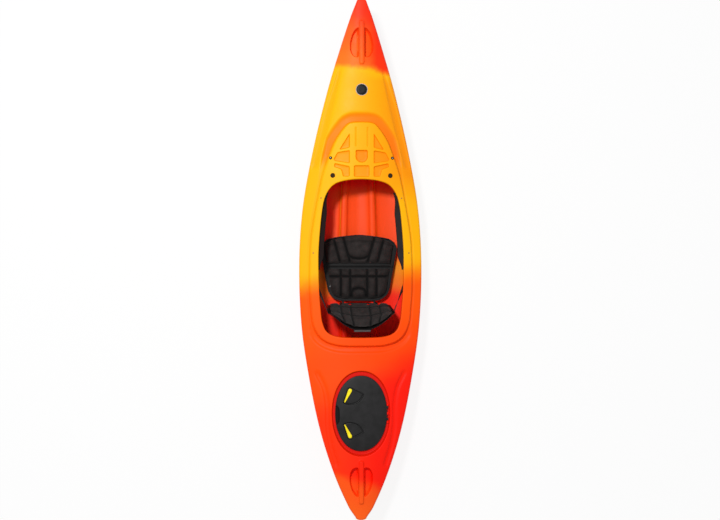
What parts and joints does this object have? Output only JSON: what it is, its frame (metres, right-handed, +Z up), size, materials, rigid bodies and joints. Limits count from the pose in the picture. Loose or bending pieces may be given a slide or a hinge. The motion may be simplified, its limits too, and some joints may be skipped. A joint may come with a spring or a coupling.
{
  "type": "recreational kayak",
  "caption": "Open-cockpit recreational kayak: a moulded hull with padded seat, thigh braces, foot braces, dashboard, carrying handles and a hinged rear hatch.",
  "frame": {"origin": "under the middle of the boat's length and beam, on the surface that its keel rests on", "axes": "+X to starboard, +Y toward the bow, +Z up"},
  "size_m": [0.7604, 3.2, 0.409],
  "materials": {
    "hull": "satin polyethylene with a fine moulded texture",
    "black_nylon": "satin",
    "hatch_plastic": "satin",
    "yellow_nylon": "semi-gloss",
    "foam": "closed-cell foam, matt",
    "seat_fabric": "woven, matt, over foam",
    "brace_foam": "foam, matt",
    "steel": "stainless",
    "rubber": "matt",
    "webbing": "woven"
  },
  "bodies": {
    "hull": {"kayak_shell": "hull", "rear_bulkhead": "foam", "bow_foam_pillar": "foam", "seat_runner_left": "black_nylon", "seat_runner_right": "black_nylon", "seat_pan": "black_nylon", "seat_bolt_left_front": "steel", "seat_bolt_left_rear": "steel", "seat_bolt_right_front": "steel", "seat_bolt_right_rear": "steel", "seat_base_pad": "seat_fabric", "leg_lifter_pin": "steel", "backrest_pin": "steel", "backrest_strap_left": "webbing", "backrest_strap_right": "webbing", "strap_anchor_left": "black_nylon", "strap_anchor_right": "black_nylon", "thigh_brace_left": "black_nylon", "thigh_brace_right": "black_nylon", "thigh_pad_left": "brace_foam", "thigh_pad_right": "brace_foam", "thigh_brace_screw_left_front": "steel", "thigh_brace_screw_left_rear": "steel", "thigh_brace_screw_right_front": "steel", "thigh_brace_screw_right_rear": "steel", "deck_plug_left": "rubber", "deck_plug_right": "rubber", "deck_fitting_left": "black_nylon", "deck_fitting_right": "black_nylon", "bow_badge": "black_nylon", "foot_rail_left": "black_nylon", "foot_rail_right": "black_nylon", "hatch_gasket": "rubber", "hatch_hinge_bracket": "black_nylon", "hatch_hinge_pin": "steel"},
    "leg_lifter": {"leg_lifter_panel": "black_nylon", "leg_lifter_pad": "seat_fabric"},
    "backrest": {"backrest_shell": "black_nylon", "backrest_pad": "seat_fabric"},
    "hatch": {"hatch_cover": "hatch_plastic"},
    "hatch_lever_front": {"hatch_lever_front": "yellow_nylon", "hatch_cam_front": "black_nylon"},
    "hatch_lever_rear": {"hatch_lever_rear": "yellow_nylon", "hatch_cam_rear": "black_nylon"},
    "foot_pedal_left": {"foot_pedal_left": "black_nylon"},
    "foot_pedal_right": {"foot_pedal_right": "black_nylon"},
    "foot_trigger_left": {"foot_trigger_left": "yellow_nylon"},
    "foot_trigger_right": {"foot_trigger_right": "yellow_nylon"}
  },
  "joints": [
    {"name": "leg_lifter_tilt", "type": "hinge", "parent": "hull", "child": "leg_lifter", "pos_m": [0, -0.03805, 0.0536], "axis": [1, 0, 0], "range_deg": [0, 12]},
    {"name": "backrest_recline", "type": "hinge", "parent": "hull", "child": "backrest", "pos_m": [0, -0.276, 0.0536], "axis": [1, 0, 0], "range_deg": [-45, 6], "deforming": ["backrest_strap_left", "backrest_strap_right"]},
    {"name": "hatch_hinge", "type": "hinge", "parent": "hull", "child": "hatch", "pos_m": [0.1645, -0.944, 0.28254], "axis": [0, 1, 0], "range_deg": [0, 110]},
    {"name": "hatch_lever_front_turn", "type": "hinge", "parent": "hatch", "child": "hatch_lever_front", "pos_m": [-0.068, -0.803, 0.27984], "axis": [0, 0, 1], "range_deg": [0, 90]},
    {"name": "hatch_lever_rear_turn", "type": "hinge", "parent": "hatch", "child": "hatch_lever_rear", "pos_m": [-0.068, -1.085, 0.27984], "axis": [0, 0, -1], "range_deg": [0, 90]},
    {"name": "foot_pedal_left_slide", "type": "slide", "parent": "hull", "child": "foot_pedal_left", "axis": [0.2516, 0.9678, 0], "range_m": [-0.14, 0.14]},
    {"name": "foot_pedal_right_slide", "type": "slide", "parent": "hull", "child": "foot_pedal_right", "axis": [-0.2516, 0.9678, 0], "range_m": [-0.14, 0.14]},
    {"name": "foot_trigger_left_lift", "type": "hinge", "parent": "foot_pedal_left", "child": "foot_trigger_left", "pos_m": [-0.22204, 0.73505, 0.1478], "axis": [0.9678, -0.2516, 0], "range_deg": [0, 20], "stiffness_Nm_per_rad": 0.3},
    {"name": "foot_trigger_right_lift", "type": "hinge", "parent": "foot_pedal_right", "child": "foot_trigger_right", "pos_m": [0.22204, 0.73505, 0.1478], "axis": [0.9678, 0.2516, 0], "range_deg": [0, 20], "stiffness_Nm_per_rad": 0.3}
  ]
}
